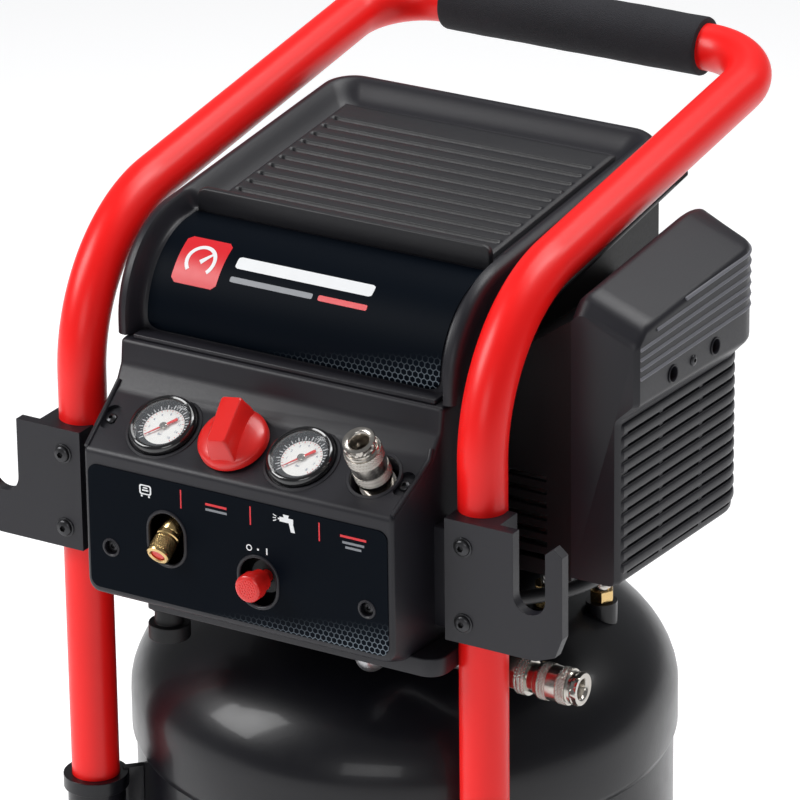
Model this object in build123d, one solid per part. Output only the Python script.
"""Upright air compressor on a red tube frame: 24 litre tank, pump unit under a
top cover, control console with gauges, regulator and couplers. Millimetres, +Z up,
-Y is the console side. The model is laid out from the middle plane (X), the plane
of the two front legs (Y) and the floor (Z), and moved at the end so that the
origin is the bottom centre of its bounding box."""

from build123d import *
import os
from math import atan2, cos, degrees, hypot, pi, radians, sin, sqrt, tan

os.makedirs("parts", exist_ok=True)

# ---------------------------------------------------------------- driving sizes
deck = 490.0            # floor to the top edge of the console's label
fit_gap = 0.05          # radial running clearance of a shaft in its hole
part_gap = 0.4          # clearance between pieces that do not touch

# tube frame
leg_x = 141.0           # middle plane to a leg's centre line
tube_r = 15.0
tube_wall = 1.5
handle_rise = 8.0       # degrees that the handle run climbs towards the rear
handle_reach = 364.0    # leg plane to the grip bar's centre line
handle_z = deck + 120.0  # where the leg and the handle run would meet
leg_bend_r = 100.0
grip_bend_r = 46.0
leg_end_z = 190.0       # lower end of the red tube, inside its socket
grip_r = 19.0

# lower legs and feet
socket_r = 18.0
socket_wall = 2.0
socket_top_z = 253.0
foot_r = 23.0
foot_height = 28.0
foot_pad = 8.0
bracket_plate = 5.0

# tank
tank_r = 170.0          # outside of the barrel
tank_leg_gap = 30.113   # barrel to a leg's centre line
tank_y = sqrt((tank_r + tank_leg_gap) ** 2 - leg_x ** 2)   # leg plane to the tank's axis
tank_wall = 2.7
dome_depth = 86.0
tank_low_tangent = 128.0
tank_high_tangent = 291.0
skirt = 25.0            # length of a head's straight skirt over the barrel

# wheels
wheel_r = 75.0
wheel_width = 34.0
wheel_y = 292.0
axle_r = 6.0
half_width = 218.0      # widest point of the object from the middle plane
tyre_depth = 21.0

# control console
console_front = -49.0
console_half = 108.0
console_flare = 8.0     # widening of each side towards the rear
console_back = 30.0
console_low = deck - 98.0
shell = 3.0
face_tilt = 31.0        # degrees of the control face from level
label_height = 80.6
label_half = 105.0
label_thick = 0.8
knee_rise = 8.0         # label's top edge to the foot of the tilted face
face_y = -25.7          # centre of the gauges on the tilted face
face_z = deck + knee_rise + (face_y - console_front + 1) * tan(radians(face_tilt))
gauge_x = -65.0
knob_x = -14.4
gauge2_x = 32.2
coupler_x = 82.4
bezel_r = 21.5
case_r = 19.0
knob_r = 22.0
ridge_turn = 98.0       # degrees of the knob's finger ridge from sideways
ridge_long = 38.0
ridge_wide = 13.0
ridge_top = 25.0        # knob's foot to the top of its ridge
skirt_top = 6.0         # knob's foot to the top of its skirt
skirt_cone = 7.0
coupler_r = 11.7
sleeve_travel = 5.0
valve_x = -49.3
button_x = 17.0
button_z = deck - 50.0
button_r = 8.8
button_travel = 5.0
manifold_depth = 40.0   # tilted face to the centre of the air manifold
manifold_size = 22.0
lower_x = 135.0         # start of the lower outlet's hexagon
lower_y = 35.0
lower_z = deck - 117.0
supply_x = 88.0         # supply hose at the manifold
drop_x = 60.0           # the pipe down to the lower outlet
gland_x = -73.0         # cable gland under the console's floor
gland_y = -14.0
gland_r = 9.0
gland_neck = 14.0       # console's floor to the gland's cap
gland_cap_r = 13.0
gland_cap = 10.0
gland_bore = 4.0

# hooks
hook_front = -23.6
hook_thick = 7.4
hook_high = deck + 4.6
hook_low = deck - 74.0
hook_reach = 66.7       # leg centre to the prong's outer face
hook_inner = tube_r - 2.4   # leg centre to the plate's inner edge
notch_near = 33.8
notch_far = 55.3
notch_low = deck - 45.0
screw_high = deck - 11.5
screw_low = deck - 60.5
screw_r = 3.0

# top cover
cover_half = 119.0
cover_seam = deck + 62.0
band_low = cover_seam - 16.0   # lower edge of the upright band under the cover
cover_rise = 5.2        # degrees
cover_rear = 268.0
rim_height = 12.0
tray_half = 98.0
tray_back = 243.0
mat_thick = 4.0
lip_y = 75.0
lip_height = 15.5
lip_thick = 5.0

# pump housing and pump
housing_low = deck - 60.0
housing_front = 31.0
housing_rear = 262.0
housing_wing_rear = 214.0  # rear of the housing's right-hand part
housing_step = 58.0     # front of the housing's right-hand part
housing_right = leg_x + tube_r + 12.0
shaft_y = 135.0
shaft_z = deck - 4.0
shaft_r = 6.0
stator_r = 50.0
rotor_r = 30.6
air_gap = 0.4
cylinder_x = 88.0
bore_r = 24.0
case_rise = 26.0        # shaft to the crankcase's top
cylinder_rise = 30.0
crank_throw = 8.0
buffer_r = 9.0
pump_plate_z = deck - 75.0

tilt = radians(face_tilt)
face_n = Vector(0, -sin(tilt), cos(tilt))     # outward normal of the tilted face
face_d = Vector(0, -cos(tilt), -sin(tilt))    # down the tilted face, towards the front
nodes = {}


# --------------------------------------------------------------------- helpers
def add(name, shape):
    """Keep one named sub-part."""
    nodes[name] = shape


def rod(r, start, end, hole=0.0):
    """A round bar between two points, with an optional hole along it."""
    a, b = Vector(*start), Vector(*end)
    line = b - a
    plane = Plane(origin=a, z_dir=line)
    bar = plane * Pos(0, 0, line.length / 2) * Cylinder(r, line.length)
    if hole:
        bar -= plane * Pos(0, 0, line.length / 2) * Cylinder(hole, line.length + 2)
    return bar


def block(x0, x1, y0, y1, z0, z1):
    """A box from its limits."""
    centre = Pos((x0 + x1) / 2, (y0 + y1) / 2, (z0 + z1) / 2)
    return centre * Box(x1 - x0, y1 - y0, z1 - z0)


def side_prism(points, x0, x1):
    """A solid with an outline in the YZ plane, between two X values."""
    face = make_face(Plane.YZ * Polyline(*points, close=True))
    return Pos(x0, 0, 0) * extrude(face, x1 - x0, dir=(1, 0, 0))


def front_prism(points, y0, y1):
    """A solid with an outline in the XZ plane, between two Y values."""
    wire = Polyline(*[(x, y0, z) for x, z in points], close=True)
    return extrude(make_face(wire), y1 - y0, dir=(0, 1, 0))


def plan_prism(points, z0, z1):
    """A solid with an outline in the XY plane, between two Z values."""
    wire = Polyline(*[(x, y, z0) for x, y in points], close=True)
    return extrude(make_face(wire), z1 - z0, dir=(0, 0, 1))


def pipe(points, radii, r, hole=0.0):
    """A tube along straight runs joined by tangent arcs."""
    path = FilletPolyline(*points, radius=radii)
    start = Plane(origin=path @ 0, z_dir=path % 0)
    tube = sweep(start * Circle(r), path)
    if hole:
        tube -= sweep(start * Circle(hole), path)
    return tube


def on_face(x, depth=0.0, down=0.0):
    """A point above the tilted control face (negative depth is inside)."""
    return Vector(x, face_y, face_z) + face_n * depth + face_d * down


def face_rod(x, low, high, r, hole=0.0):
    """A round bar along the tilted face's normal."""
    return rod(r, on_face(x, low), on_face(x, high), hole)


def hex_rod(across, start, end, hole=0.0):
    """A hexagonal bar between two points."""
    a, b = Vector(*start), Vector(*end)
    plane = Plane(origin=a, z_dir=b - a)
    bar = extrude(plane * RegularPolygon(across / 2, 6, major_radius=False), (b - a).length)
    if hole:
        bar -= rod(hole, a - (b - a), b + (b - a))
    return bar


def dome_z(x, y, top=True):
    """Height of a tank head's outside at a place."""
    r = hypot(x, y - tank_y)
    rise = dome_depth * sqrt(1 - (r / (tank_r + tank_wall)) ** 2)
    return tank_high_tangent + rise if top else tank_low_tangent - rise


def mirror_x(shape):
    return mirror(shape, about=Plane.YZ)


# ------------------------------------------------------------------ tube frame
def build_frame():
    rise = tan(radians(handle_rise))
    bar_z = handle_z + handle_reach * rise
    points = [
        (-leg_x, 0, leg_end_z), (-leg_x, 0, handle_z), (-leg_x, handle_reach, bar_z),
        (leg_x, handle_reach, bar_z), (leg_x, 0, handle_z), (leg_x, 0, leg_end_z),
    ]
    radii = [leg_bend_r, grip_bend_r, grip_bend_r, leg_bend_r]
    tube = pipe(points, radii, tube_r, tube_r - tube_wall)
    for side in (-1, 1):
        for z in (screw_high, screw_low):
            at = side * leg_x
            tube -= rod(screw_r + 0.1, (at, -tube_r - 5, z), (at, 0, z))
    add("frame_tube", tube)
    grip_half = leg_x - grip_bend_r - 2
    grip = rod(grip_r, (-grip_half, handle_reach, bar_z), (grip_half, handle_reach, bar_z), tube_r)
    add("handle_grip", grip)


def tank_solid(grow=0.0):
    """The tank's outside as one solid, for cutting what is welded to it."""
    r = tank_r + tank_wall + grow
    middle = Pos(0, tank_y, (tank_low_tangent + tank_high_tangent) / 2)
    body = middle * Cylinder(r, tank_high_tangent - tank_low_tangent)
    for z in (tank_low_tangent, tank_high_tangent):
        body += Pos(0, tank_y, z) * head_ellipsoid(r, dome_depth + grow)
    return body


def head_ellipsoid(r, depth):
    """A full ellipsoid of a tank head, by turning half an ellipse."""
    arc = EllipticalCenterArc((0, 0), r, depth, start_angle=-90, arc_size=180)
    half = make_face(Plane.XZ * (arc + Line(arc @ 1, arc @ 0)))
    return revolve(half, Axis.Z)


def build_lower_legs():
    inner = socket_r - socket_wall
    leg = rod(socket_r, (leg_x, 0, foot_pad), (leg_x, 0, socket_top_z), inner)
    leg += rod(socket_r + 2.5, (leg_x, 0, socket_top_z - 9), (leg_x, 0, socket_top_z), tube_r)
    leg += rod(inner + 0.5, (leg_x, 0, leg_end_z - 4), (leg_x, 0, leg_end_z))
    run = Vector(-leg_x, tank_y, 0)
    turn = degrees(atan2(run.Y, run.X))
    low, high = tank_low_tangent + skirt + 14, tank_high_tangent - skirt - 12
    far = run.length - tank_r + 3
    near = inner + 1
    plate = block(near, far, -bracket_plate / 2, bracket_plate / 2, low, high)
    plate = Pos(leg_x, 0, 0) * Rot(0, 0, turn) * plate
    barrel = Pos(0, tank_y, tank_high_tangent / 2) * Cylinder(tank_r, tank_high_tangent)
    leg += plate - barrel
    add("lower_legs", Compound([leg, mirror_x(leg)]))
    foot = rod(foot_r, (leg_x, 0, 0), (leg_x, 0, foot_height))
    foot = chamfer(foot.edges().group_by(Axis.Z)[0], 3)
    foot -= rod(socket_r, (leg_x, 0, foot_pad), (leg_x, 0, foot_height + 1))
    add("rubber_feet", Compound([foot, mirror_x(foot)]))


# ------------------------------------------------------------------------ tank
def build_tank():
    def head(tangent, up):
        sign = 1 if up else -1
        outer = Pos(0, tank_y, tangent) * head_ellipsoid(tank_r + tank_wall, dome_depth)
        inner = Pos(0, tank_y, tangent) * head_ellipsoid(tank_r, dome_depth - tank_wall)
        dome = outer - inner
        r = tank_r + 20
        dome -= Pos(0, tank_y, tangent - sign * dome_depth) * Cylinder(r, 2 * dome_depth)
        ring = rod(tank_r + tank_wall, (0, tank_y, tangent), (0, tank_y, tangent - sign * skirt), tank_r)
        return dome + ring

    add("tank_top_head", head(tank_high_tangent, True))
    add("tank_bottom_head", head(tank_low_tangent, False))
    inset = skirt - 12
    barrel = rod(tank_r, (0, tank_y, tank_low_tangent + inset), (0, tank_y, tank_high_tangent - inset),
                 tank_r - tank_wall)
    add("tank_barrel", barrel)


check_x, check_y = 106.0, 140.0     # check valve on the dome
feed_x, feed_y = 121.0, 180.0       # supply hose fitting on the dome
drain_gap = 6.0


def build_bosses():
    cutter = tank_solid()
    group = []
    for x, y in ((check_x, check_y), (feed_x, feed_y)):
        top = dome_z(x, y) + 9
        group.append(rod(10, (x, y, top - 30), (x, y, top)) - cutter)
    low = dome_z(0, tank_y, False)
    group.append(rod(12, (0, tank_y, low - drain_gap), (0, tank_y, low + 20)) - cutter)
    add("tank_bosses", Compound(group))


def build_drain():
    low = dome_z(0, tank_y, False) - drain_gap
    body = hex_rod(17, (0, tank_y, low - 12), (0, tank_y, low))
    body += rod(5, (0, tank_y, low - 22), (0, tank_y, low - 12))
    body += rod(3.5, (0, tank_y - 16, low - 6), (0, tank_y, low - 6))
    add("drain_valve", body)
    top = low - 12 - part_gap
    cap = rod(9, (0, tank_y, low - 26), (0, tank_y, top))
    cap += block(-14, 14, tank_y - 2, tank_y + 2, low - 26, low - 17)
    cap -= rod(5 + fit_gap, (0, tank_y, low - 22 - part_gap), (0, tank_y, top + 1))
    add("drain_screw", cap)


def build_wheels():
    end = half_width - 1
    add("wheel_axle", rod(axle_r, (-end, wheel_y, wheel_r), (end, wheel_y, wheel_r)))
    plate_x = 60.0
    outline = [(wheel_y - 62, wheel_r + 75), (wheel_y - 62, wheel_r + 20), (wheel_y - 14, wheel_r - 13),
               (wheel_y + 14, wheel_r - 13), (wheel_y + 14, wheel_r + 75)]
    plates = side_prism(outline, plate_x - 5, plate_x) + side_prism(outline, -plate_x, -plate_x + 5)
    plates += block(-plate_x, plate_x, wheel_y - 12, wheel_y + 12, wheel_r - 13, wheel_r - 9)
    plates -= tank_solid()
    plates -= rod(axle_r, (-plate_x - 1, wheel_y, wheel_r), (plate_x + 1, wheel_y, wheel_r))
    keep = block(-plate_x - 1, plate_x + 1, wheel_y - 70, wheel_y + 20, 0, wheel_r + 70)
    add("axle_bracket", plates & keep)
    outer = half_width - 3
    rim_r = wheel_r - tyre_depth
    for side, name in ((-1, "left"), (1, "right")):
        def disc(r, x0, x1, hole):
            return rod(r, (side * x0, wheel_y, wheel_r), (side * x1, wheel_y, wheel_r), hole)
        bore = axle_r + fit_gap
        hub = disc(16, outer - wheel_width, outer, bore)
        hub += disc(rim_r, outer - wheel_width + 3, outer - 3, rim_r - 5)
        hub += disc(rim_r - 1, outer - wheel_width / 2 - 3, outer - wheel_width / 2 + 3, bore)
        add("wheel_hub_" + name, hub)
        tyre = disc(wheel_r, outer - wheel_width, outer, rim_r)
        tyre = fillet(tyre.edges().filter_by(GeomType.CIRCLE).group_by(SortBy.RADIUS)[-1], 7)
        add("wheel_tyre_" + name, tyre)
    caps = []
    for side in (-1, 1):
        inner = outer + part_gap
        cap = rod(12, (side * inner, wheel_y, wheel_r), (side * half_width, wheel_y, wheel_r))
        caps.append(cap - rod(axle_r, (-side, wheel_y, wheel_r), (side * end, wheel_y, wheel_r)))
        stop = outer - wheel_width - part_gap
        collar = rod(11, (side * (stop - 3), wheel_y, wheel_r), (side * stop, wheel_y, wheel_r), axle_r)
        caps.append(collar)
    add("axle_caps", Compound(caps))


# --------------------------------------------------------------------- console
def console_outline(inset):
    """Side outline of the console, from the bottom at the front round to the back."""
    i = inset
    lift = i / cos(tilt)
    rise = tan(tilt)
    top_y = console_front + i
    knee_z = deck + knee_rise + (top_y - (console_front - 1)) * rise - lift
    slope_end = -9 + i
    return [
        (console_back, console_low + i), (console_front + 8 + i * 0.6, console_low + i),
        (console_front + i, console_low + 12 + i * 0.4), (console_front + i, knee_z),
        (slope_end, deck + knee_rise + (slope_end - (console_front - 1)) * rise - lift),
        (i, band_low - i * 0.3), (2 + i, cover_seam - 1 - i), (console_back, cover_seam - 1 - i),
    ]


def console_body(inset, back_extra=0.0):
    outline = console_outline(inset)
    if back_extra:
        outline[0] = (console_back + back_extra, outline[0][1])
        outline[-1] = (console_back + back_extra, outline[-1][1])
    body = side_prism(outline, -130, 130)
    half = console_half - inset
    wide = half + console_flare
    rear = console_back + back_extra + 1
    plan = plan_prism([(-half, console_front - 2), (half, console_front - 2), (wide, rear), (-wide, rear)],
                      console_low - 5, cover_seam + 5)
    return body & plan


valve_hole = (27.0, 36.0)
button_hole = (28.0, 34.0)


def oval(x, z, size, y0, y1):
    """A slot cutter with round ends, upright, through the console's front."""
    width, height = size
    flat = (height - width) / 2
    cut = block(x - width / 2, x + width / 2, y0, y1, z - flat, z + flat)
    for end in (-flat, flat):
        cut += rod(width / 2, (x, y0, z + end), (x, y1, z + end))
    return cut


def console_screw_places():
    return [(-89.8, deck - 52.5), (90.5, deck - 52.5)]


def front_openings(y0, y1):
    valve_z = manifold_z() - tan(tilt) * (manifold_y() - console_front)
    cut = oval(valve_x, valve_z, valve_hole, y0, y1) + oval(button_x - 2, deck - 52, button_hole, y0, y1)
    for x, z in console_screw_places():
        cut += rod(4.6, (x, y0, z), (x, y1, z))
    return cut


def manifold_y():
    return on_face(0, -manifold_depth).Y


def manifold_z():
    return on_face(0, -manifold_depth).Z


def build_console():
    body = console_body(0) - console_body(shell, 5)
    front = console_front
    body -= front_openings(front - 5, front + shell + 2)
    for x in (gauge_x, gauge2_x):
        body -= face_rod(x, -14, 12, case_r + part_gap)
        body -= face_rod(x, 0, 14, bezel_r + part_gap)
    body -= face_rod(knob_x, -14, 12, 11)
    body -= face_rod(knob_x, 0, 14, knob_r + part_gap)
    drop = rod(socket_r / 2, (drop_x, manifold_y(), console_low - 5), (drop_x, manifold_y(), console_low + 9))
    body -= drop
    body -= face_rod(coupler_x, -14, 12, 15)
    for x in (-leg_x, leg_x):
        ear_end = leg_x - hook_inner
        near, far = (console_half + 2, ear_end) if x > 0 else (-ear_end, -console_half - 2)
        body += block(near, far, -8, 8, deck - 75, deck - 10) - rod(tube_r, (x, 0, 0), (x, 0, deck + 50))
    wall_end = supply_x - 14
    wall_y = console_back - shell
    back_wall = block(shell - console_half, wall_end, wall_y, console_back, console_low, housing_low)
    body += back_wall
    for x, z in console_screw_places():
        post = rod(6.5, (x, front + shell, z), (x, front + 26, z))
        body += post - rod(2.2, (x, front, z), (x, front + 30, z))
    add("control_console", body)
    label = block(-label_half, label_half, front - label_thick, front, deck - label_height, deck)
    label = fillet(label.edges().filter_by(Axis.Y), 5)
    label -= front_openings(front - 5, front + 5)
    add("console_label", label)
    screws = []
    for x, z in console_screw_places():
        head = rod(4.2, (x, front + 1.2, z), (x, front + shell, z))
        screws.append(head + rod(2.2, (x, front + shell, z), (x, front + 20, z)))
    for side in (-1, 1):
        for z in (screw_high, screw_low):
            x = side * leg_x
            screw = rod(5.3, (x, hook_front - 3.6, z), (x, hook_front, z))
            screw -= hex_rod(3, (x, hook_front - 4, z), (x, hook_front - 1.6, z))
            screws.append(screw + rod(screw_r, (x, hook_front, z), (x, -tube_r + 4, z)))
    add("case_screws", Compound(screws))


def build_hooks():
    def plate():
        a = leg_x
        back = hook_front + hook_thick
        outline = [
            (a - hook_inner, hook_low), (a + hook_reach - 18, hook_low), (a + hook_reach - 5, hook_low + 5),
            (a + hook_reach, hook_low + 18), (a + hook_reach, deck - 4), (a + hook_reach - 5.7, deck + 0.7),
            (a + notch_far, deck - 4), (a + notch_far, hook_high + 10), (a + notch_near, hook_high + 10),
            (a + notch_near, hook_high), (a - hook_inner, hook_high),
        ]
        body = front_prism(outline, hook_front, back)
        half = (notch_far - notch_near) / 2
        centre = a + notch_near + half
        body -= rod(half, (centre, hook_front - 1, notch_low + half), (centre, back + 1, notch_low + half))
        mouth = block(a + notch_near, a + notch_far, hook_front - 1, back + 1, notch_low + half, hook_high + 20)
        body -= mouth
        wall = block(a - hook_inner, a + tube_r + 6, back, 4, hook_low, hook_high)
        body += wall - rod(tube_r, (a, 0, hook_low - 5), (a, 0, hook_high + 5))
        for z in (screw_high, screw_low):
            body -= rod(screw_r, (a, hook_front - 1, z), (a, 0, z))
        return body - block(a - 30, a + tube_r - 3, 0, 10, hook_low - 1, hook_high + 1)

    add("hook_right", plate())
    add("hook_left", mirror_x(plate()))


# --------------------------------------------------------- gauges and fittings
def build_gauges():
    cases, dials, lenses = [], [], []
    for x in (gauge_x, gauge2_x):
        case = face_rod(x, -22, 0, case_r) + face_rod(x, 0, 8, bezel_r)
        case += face_rod(x, -(manifold_depth - manifold_size / 2), -22, 5.5)
        case -= face_rod(x, -1, 9, bezel_r - 3)
        cases.append(case)
        dials.append(face_rod(x, -1, 0.2, bezel_r - 3, 1.2))
        lenses.append(face_rod(x, 4.2, 5.6, bezel_r - 3))
    add("gauge_cases", Compound(cases))
    add("gauge_dials", Compound(dials))
    add("gauge_lenses", Compound(lenses))
    for x, name in ((gauge_x, "tank_gauge_needle"), (gauge2_x, "outlet_gauge_needle")):
        plane = Plane(origin=on_face(x, 1.2), x_dir=(1, 0, 0), z_dir=face_n)
        needle = plane * Rot(0, 0, 225) * Pos(4, 0, 0.5) * Box(18, 1.4, 0.8)
        needle += face_rod(x, 1.2, 2.6, 2.4)
        needle += face_rod(x, -0.6, 1.2, 1.2 - fit_gap)
        add(name, needle)


def build_regulator():
    plane = Plane(origin=on_face(knob_x, 1.0), x_dir=(1, 0, 0), z_dir=face_n)
    knob = plane * Pos(0, 0, skirt_top / 2) * Cylinder(knob_r, skirt_top)
    knob += plane * Pos(0, 0, skirt_top + skirt_cone / 2) * Cone(knob_r, knob_r - skirt_cone, skirt_cone)
    ridge_rise = ridge_top - skirt_top
    ridge = Pos(0, 0, skirt_top + ridge_rise / 2) * Box(ridge_long, ridge_wide, ridge_rise)
    knob += plane * Rot(0, 0, ridge_turn) * ridge
    knob -= face_rod(knob_x, 0, 9, 5 + fit_gap)
    add("regulator_knob", knob)


def build_manifold():
    centre = on_face(0, -manifold_depth)
    plane = Plane(origin=centre, x_dir=(1, 0, 0), z_dir=face_n)
    bar = plane * Pos(7, 0, 0) * Box(178, manifold_size, manifold_size)
    half = manifold_size / 2
    bar += face_rod(knob_x, -manifold_depth + half - 1, -5, 17)
    bar += face_rod(knob_x, -6, 8.6, 5)
    bar += rod(8, (supply_x, centre.Y, deck - 36), (supply_x, centre.Y, centre.Z))
    bar += rod(8, (drop_x, centre.Y, centre.Z), (drop_x, centre.Y, lower_z + 20))
    bar -= rod(3, (-70, centre.Y, centre.Z), (120, centre.Y, centre.Z))
    add("air_manifold", bar)
    line = pipe([(drop_x, centre.Y, lower_z + 20), (drop_x, centre.Y, lower_z), (drop_x, lower_y, lower_z),
                 (lower_x, lower_y, lower_z)], [14, 14], 6, 4)
    add("lower_outlet_pipe", line)


def coupler(origin, axis, hexes, name):
    """A quick coupler along an axis: hexagon, body and a sprung sleeve over it."""
    o, a = Vector(*origin), Vector(*axis).normalized()
    low, body_from, body_to = hexes
    body = hex_rod(19, o + a * low, o + a * body_from, 3)
    body += rod(9.2, o + a * body_from, o + a * body_to, 3)
    body -= rod(5.6, o + a * (body_to - 16), o + a * (body_to + 1))
    body += rod(coupler_r, o + a * body_from, o + a * (body_from + 7), 9)
    body += rod(10.6, o + a * (body_to - 4), o + a * body_to, 5.6)
    add(name + "_body", body)
    start = body_from + 7 + sleeve_travel + part_gap
    sleeve = rod(coupler_r, o + a * start, o + a * (body_to - 4 - part_gap), 9.2 + fit_gap)
    add(name + "_sleeve", sleeve)


def build_valves():
    centre = on_face(valve_x, -manifold_depth)
    half = manifold_size / 2
    body = hex_rod(14, centre + face_d * half, centre + face_d * (half + 8))
    body += rod(6.2, centre + face_d * (half + 8), centre + face_d * 48)
    body += rod(2, centre + face_d * 48, centre + face_d * 58)
    add("safety_valve_body", body)
    cap = rod(7.6, centre + face_d * (48 + part_gap), centre + face_d * 65, 2 + fit_gap)
    cap -= rod(4.5, centre + face_d * 61, centre + face_d * 66)
    add("safety_valve_cap", cap)
    switch = block(-14, 44, console_front + 20, console_back - 4, deck - 80, deck - 34)
    riser_x = button_x - 4
    riser = rod(8, (riser_x, manifold_y(), deck - 34), (riser_x, manifold_y(), manifold_z()))
    bar = Plane(origin=on_face(riser_x, -manifold_depth), x_dir=(1, 0, 0), z_dir=face_n)
    switch += riser - bar * Box(60, manifold_size, manifold_size)
    guide_start = (button_x, console_front + 6, button_z)
    guide = rod(11, guide_start, (button_x, console_front + 20, button_z))
    plunger = rod(4 + fit_gap, guide_start, (button_x, console_front + 30, button_z))
    add("pressure_switch", switch + guide - plunger)
    tip = console_front - 17
    button = rod(button_r, (button_x, tip, button_z), (button_x, tip + 9, button_z))
    button += rod(7, (button_x, tip + 9, button_z), (button_x, console_front - 1, button_z))
    button += rod(4, (button_x, console_front - 1, button_z), (button_x, console_front + 24, button_z))
    add("power_button", button)


# ------------------------------------------------------------------- top cover
brow_y = 67.0           # centre of the cover's rounded brow
brow_z = deck + 70.0
deck_r = 50.0           # radius of the label's surface
rim_r = deck_r + rim_height
sill_z = cover_seam + 2.3
label_half_top = 103.0
label_recess = 105.0
rim_corner = 22.0
brim_low = deck + 116.0
brim_thick = 4.0
brim_wide = 5.0


def brow_arc(r):
    """Start, middle and end of the brow's arc, from upright to the top slope."""
    last = 90 - cover_rise
    return [(brow_y - r * cos(radians(t)), brow_z + r * sin(radians(t))) for t in (0, last / 2, last)]


def cover_line(r, y):
    """Height of the top slope at a depth, for the same offset from the brow's centre."""
    top = brow_arc(r)[-1]
    return top[1] + (y - top[0]) * tan(radians(cover_rise))


def brow_prism(r, low, after, half):
    """A slab across X whose outline climbs from a height, round the brow and on through points."""
    start, middle, end = brow_arc(r)
    first = (start[0], low)
    outline = Line(first, start) + ThreePointArc(start, middle, end) + Polyline(end, *after, first)
    return Pos(-half, 0, 0) * extrude(make_face(Plane.YZ * outline), 2 * half, dir=(1, 0, 0))


def build_cover():
    high = deck + 200
    tail = cover_rear + 17
    outer = brow_prism(rim_r, cover_seam, [(cover_rear, cover_line(rim_r, cover_rear)), (tail, brim_low),
                                           (70, deck + 84.5), (console_back, cover_seam)], cover_half)
    outer = fillet(outer.edges().filter_by(Axis.Z, 25).sort_by(Axis.Y)[-2:], rim_corner)
    recess = brow_prism(deck_r, sill_z, [(tray_back, cover_line(deck_r, tray_back)), (tray_back, high),
                                         (-20, high), (-20, sill_z)], tray_half)
    step = lip_y + lip_thick + 1
    wide = brow_prism(deck_r, sill_z, [(step, cover_line(deck_r, step)), (step, high), (-20, high),
                                       (-20, sill_z)], label_recess)
    inner_r = deck_r - shell
    inner_rear = cover_rear - 5
    hollow = brow_prism(inner_r, brow_z - 1, [(inner_rear, cover_line(inner_r, inner_rear)),
                                              (inner_rear + 12, deck + 60), (20, deck + 30)],
                        cover_half - shell)
    cover = outer - recess - wide - hollow
    brim = side_prism([(70, deck + 84.5), (tail, brim_low), (tail, brim_low + brim_thick),
                       (70, deck + 84.5 + brim_thick)], -cover_half - brim_wide, cover_half + brim_wide)
    brim -= block(-cover_half + shell, cover_half - shell, 0, cover_rear + 10, deck, high)
    add("top_cover", cover + brim)
    top_y = lip_y - 2
    skin_r = deck_r + label_thick
    hem = cover_seam + 3
    label = brow_prism(skin_r, hem, [(top_y, cover_line(skin_r, top_y)), (top_y, hem)], label_half_top)
    past = top_y + 1
    under = [(past, cover_line(deck_r, past)), (past, hem - 1)]
    label -= brow_prism(deck_r, hem - 1, under, label_half_top + 1)
    add("cover_label", label)


def build_mat():
    first, last = lip_y, tray_back - 3
    low = [(y, cover_line(deck_r, y)) for y in (first, last)]
    high = [(y, cover_line(deck_r + mat_thick, y)) for y in (last, first + lip_thick)]
    outline = low + high + [(first + lip_thick, low[0][1] + lip_height), (first, low[0][1] + lip_height)]
    mat = side_prism(outline, -tray_half + 1, tray_half - 1)
    wide = [low[0], (first + lip_thick, cover_line(deck_r, first + lip_thick))] + outline[-2:]
    mat += side_prism(wide, -103, 103)
    pitch = (last - first - 40) / 10
    for i in range(10):
        y = first + 30 + i * pitch
        z = cover_line(deck_r + mat_thick, y)
        mat -= Pos(0, y, z) * Rot(cover_rise, 0, 0) * Box(2 * tray_half - 8, 3.2, 3)
    add("tray_mat", mat)


# ---------------------------------------------------------------- pump housing
def build_housing():
    half = cover_half - shell - 0.5
    front, rear, low = housing_front, housing_rear, housing_low
    outline = [(front, low), (rear, low), (rear, deck + 117), (70, deck + 90), (front, deck + 66)]
    outer = side_prism(outline, -half, half)
    right = [(half - 5, housing_low), (housing_right, housing_low), (housing_right, deck + 108),
             (half - 5, deck + 68)]
    outer += front_prism(right, housing_step, housing_wing_rear)
    inner = block(-half + shell, half - shell, front + shell, rear - shell, low + shell, deck + 150)
    right_in = [(half - 20, housing_low + shell), (housing_right + 5, housing_low + shell),
                (housing_right + 5, deck + 107.8), (half - 20, deck + 54)]
    inner += front_prism(right_in, housing_step + shell, housing_wing_rear - shell)
    shellbody = outer - inner
    for i in range(7):
        z = deck - 50 + i * 8.5
        shellbody -= block(half + 8, housing_right - 17, housing_step - 2, housing_step + 5, z, z + 3.5)
    for i in range(6):
        z = deck - 44 + i * 13
        shellbody -= block(-half - 2, -half + 5, shaft_y - 45, shaft_y + 45, z, z + 5)
    hose_exit = (cylinder_x, discharge_y, housing_low - 2)
    shellbody -= rod(10, hose_exit, (cylinder_x, discharge_y, housing_low + 8))
    for x, y in buffer_places():
        shellbody -= rod(2.5, (x, y, housing_low - 1), (x, y, housing_low + 5))
    add("pump_housing", shellbody)


def buffer_places():
    return [(sx * 60.0, y) for sx in (-1, 1) for y in (86.0, 186.0)]


def build_mount():
    plate = block(-80, 80, 66, 214, pump_plate_z, pump_plate_z + 3)
    for y in (90, 190):
        plate += block(-76, 76, y - 2, y + 2, pump_plate_z - 90, pump_plate_z + 1)
    plate -= tank_solid()
    keep = block(-100, 100, 50, 230, dome_z(76, 190) - 1, pump_plate_z + 3)
    add("pump_bracket", plate & keep)
    buffers = []
    for x, y in buffer_places():
        buffers.append(rod(buffer_r, (x, y, pump_plate_z + 3), (x, y, housing_low)))
        buffers[-1] += rod(2.5, (x, y, housing_low), (x, y, housing_low + shell))
    add("rubber_buffers", Compound(buffers))


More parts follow.
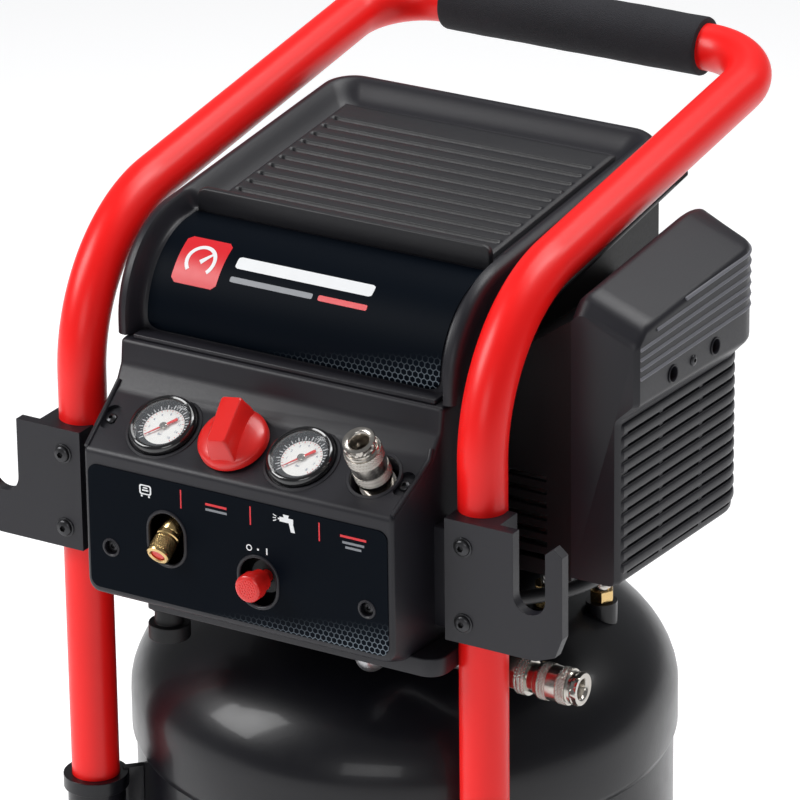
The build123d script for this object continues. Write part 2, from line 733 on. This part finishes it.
pump_front, pump_rear = 57.0, 208.0
pump_low = deck - 57.0
wall_reach = 32.0       # housing's side to the ribbed lower wall
band_reach = 45.0       # housing's side to the upper band
pump_reach = 50.0       # housing's side to the widest point, at the rear
rear_flare = 7.0
rear_lift = 13.0
lip_low = deck + 50.0
lip_high = deck + 62.0
band_top = deck + 108.0
ridge_reach = 6.0
ridge_z = deck + 123.0
rib_reach = housing_right + 22
rib_count = 12
rib_pitch = 8.2
rib_top = deck + 42.0
rib_slot = 3.4


def pump_section(inset, y, flare, lift):
    i = inset
    inner = housing_right + 0.3 - (5 if i else 0)
    wall = housing_right + wall_reach + flare - i
    band = housing_right + band_reach + flare * 0.7 - i
    return [
        (inner, y, pump_low + i), (wall, y, pump_low + i), (wall, y, lip_low - lift / 4),
        (band, y, lip_high - lift / 4 + i * 0.5), (band, y, band_top + lift - i * 0.6),
        (housing_right + ridge_reach, y, ridge_z + lift - i * 1.3), (inner, y, ridge_z - 6 + lift - i * 1.3),
    ]


def build_pump_cover():
    widest = housing_right + pump_reach

    def body(inset):
        a, b = pump_front + inset, pump_rear - inset
        front = make_face(Polyline(*pump_section(inset, a, 0, 0), close=True))
        back = make_face(Polyline(*pump_section(inset, b, rear_flare, rear_lift), close=True))
        solid = loft([front, back], ruled=True)
        inner, edge = housing_right - 18, widest - inset
        plan = plan_prism([(inner, a), (edge - 3, a), (edge, a + 3), (edge, b), (inner, b)],
                          pump_low - 13, ridge_z + 27)
        outer_corner = plan.edges().filter_by(Axis.Z).sort_by(lambda e: e.center().X + e.center().Y)[-1]
        return solid & fillet(outer_corner, 14 - inset * 0.8)

    cover = body(0) - body(shell)
    for i in range(rib_count):
        z = rib_top - i * rib_pitch
        slot = block(rib_reach, rib_reach + 22, pump_front + 14, pump_rear - 22, z - rib_slot, z)
        cover -= slot
    add("pump_cover", cover)


# ------------------------------------------------------------------------ pump
discharge_y = 198.0


def build_motor():
    y, z = shaft_y, shaft_z
    stator = rod(stator_r, (-62, y, z), (36, y, z), rotor_r + air_gap)
    stator += block(-56, 30, y - 28, y + 28, housing_low + shell, z - stator_r + 8) \
        - rod(stator_r - 3, (-60, y, z), (40, y, z))
    add("motor_stator", stator)
    bell = rod(stator_r, (-74, y, z), (-62, y, z), 16)
    bell += rod(20, (-82, y, z), (-74, y, z), 16)
    add("motor_end_bell", bell)
    shaft = rod(shaft_r, (-110, y, z), (cylinder_x - 20, y, z)) + rod(rotor_r, (-56, y, z), (30, y, z))
    add("rotor_shaft", shaft)
    bearings = [rod(16, (-82, y, z), (-73, y, z), shaft_r + fit_gap),
                rod(16, (42, y, z), (51, y, z), shaft_r + fit_gap)]
    add("shaft_bearings", Compound(bearings))
    fan = rod(13, (-108, y, z), (-92, y, z), shaft_r)
    for i in range(8):
        blade = Pos(-100, y, z) * Rot(i * 45, 0, 0) * Pos(0, 0, 28) * Rot(0, 0, 28) * Box(2, 16, 34)
        fan += blade
    add("cooling_fan", fan)
    web = rod(18, (cylinder_x - 20, y, z), (cylinder_x - 14, y, z))
    web += rod(6, (cylinder_x - 14, y, z - crank_throw), (cylinder_x - 6, y, z - crank_throw))
    add("crank_web", web)


def build_pump():
    y, z = shaft_y, shaft_z
    case = block(42, cylinder_x + 46, y - 46, y + 46, housing_low + shell, z + case_rise)
    case -= block(56, cylinder_x + 60, y - 41, y + 41, housing_low + shell + 5, z + case_rise - 5)
    case -= rod(16, (40, y, z), (51, y, z)) + rod(12, (40, y, z), (60, y, z))
    case -= rod(bore_r + 4, (cylinder_x, y, z), (cylinder_x, y, z + 40))
    case += rod(stator_r, (36, y, z), (42, y, z), 16)
    add("crankcase", case)
    base = z + case_rise
    cylinder = rod(bore_r + 4, (cylinder_x, y, base - 5), (cylinder_x, y, base + cylinder_rise), bore_r)
    for i in range(5):
        low = base + 1 + i * 6.4
        cylinder += rod(bore_r + 13, (cylinder_x, y, low), (cylinder_x, y, low + 2), bore_r + 2)
    add("cylinder", cylinder)
    top = base + cylinder_rise
    head = block(cylinder_x - 36, cylinder_x + 32, y - 36, y + 36, top, top + 11)
    for i in range(7):
        at = cylinder_x - 34 + i * 10
        head += block(at, at + 3, y - 36, y + 36, top + 10, top + 15)
    head += rod(7, (cylinder_x, y + 30, top + 8), (cylinder_x, y + 44, top + 8))
    add("cylinder_head", head)
    low = z - crank_throw
    ring_x = cylinder_x - 5
    piston = rod(bore_r - fit_gap, (cylinder_x, y, base + 2), (cylinder_x, y, base + 10))
    piston += block(ring_x, ring_x + 10, y - 6, y + 6, low + 10, base + 3)
    piston += rod(13, (ring_x, y, low), (ring_x + 10, y, low), 8)
    add("piston_rod", piston)
    filt = block(cylinder_x + 32, 160, y - 34, y - 4, top + 1, top + 12)
    add("intake_filter", filt)
    hose_z = deck - 88.0
    outlet_z = top + 8
    points = [
        (cylinder_x, y + 44, outlet_z), (cylinder_x, discharge_y, outlet_z),
        (cylinder_x, discharge_y, hose_z), (check_x + 12, check_y + 30, hose_z),
        (check_x, check_y, hose_z), (check_x, check_y, dome_z(check_x, check_y) + 24),
    ]
    add("discharge_hose", pipe(points, [14, 14, 14, 14], 5))
    z0 = dome_z(check_x, check_y) + 9
    valve = hex_rod(17, (check_x, check_y, z0), (check_x, check_y, z0 + 15))
    top = dome_z(feed_x, feed_y) + 9
    fitting = hex_rod(14, (feed_x, feed_y, top), (feed_x, feed_y, top + 8))
    add("check_valve_and_fitting", Compound([valve, fitting]))


def build_hoses():
    top = dome_z(feed_x, feed_y) + 9
    c = on_face(supply_x, -manifold_depth)
    points = [
        (feed_x, feed_y, top + 8), (feed_x, feed_y, top + 27), (148, 158, deck - 93),
        (149, 112, deck - 88), (122, 66, deck - 86), (94, 30, deck - 84), (supply_x, c.Y, deck - 72),
        (supply_x, c.Y, deck - 36),
    ]
    radii = []
    for before, here, after in zip(points, points[1:], points[2:]):
        a = Vector(*here) - Vector(*before)
        b = Vector(*after) - Vector(*here)
        turn = radians(a.get_angle(b))
        radii.append(0.45 * min(a.length, b.length) / tan(turn / 2))
    print("supply hose radii", [round(r, 1) for r in radii])
    hose = pipe(points, radii, 4.5)
    add("supply_hose", hose)
    print("hose length", round(hose.volume / (pi * 4.5 ** 2), 1))


def build_gland():
    def ring(r, high, low):
        return rod(r, (gland_x, gland_y, high), (gland_x, gland_y, low), gland_bore)

    neck_end = console_low - gland_neck
    neck = ring(gland_r, console_low, neck_end)
    cap = ring(gland_cap_r, neck_end, neck_end - gland_cap)
    flange = ring(gland_cap_r - 1, console_low, console_low - 4)
    add("cable_gland", neck + cap + flange)


build_frame()
build_lower_legs()
build_tank()
build_bosses()
build_drain()
build_wheels()
build_console()
build_hooks()
build_gauges()
build_regulator()
build_manifold()
coupler(on_face(coupler_x), face_n, (-(manifold_depth - manifold_size / 2), -14, 34), "outlet_coupler")
coupler((lower_x, lower_y, lower_z), (1, 0, 0), (0, 12, 54), "lower_coupler")
build_valves()
build_cover()
build_mat()
build_mount()
build_housing()
build_pump_cover()
build_motor()
build_pump()
build_hoses()
build_gland()

# ------------------------------------------------------- place the origin, export
box = Compound([s for s in nodes.values()]).bounding_box()
shift = Location((-(box.min.X + box.max.X) / 2, -(box.min.Y + box.max.Y) / 2, -box.min.Z))
for name, shape in nodes.items():
    export_step(shift * shape, "parts/" + name + ".step")
print("nodes", len(nodes), "size", [round(v, 1) for v in box.size], "shift", shift.position)
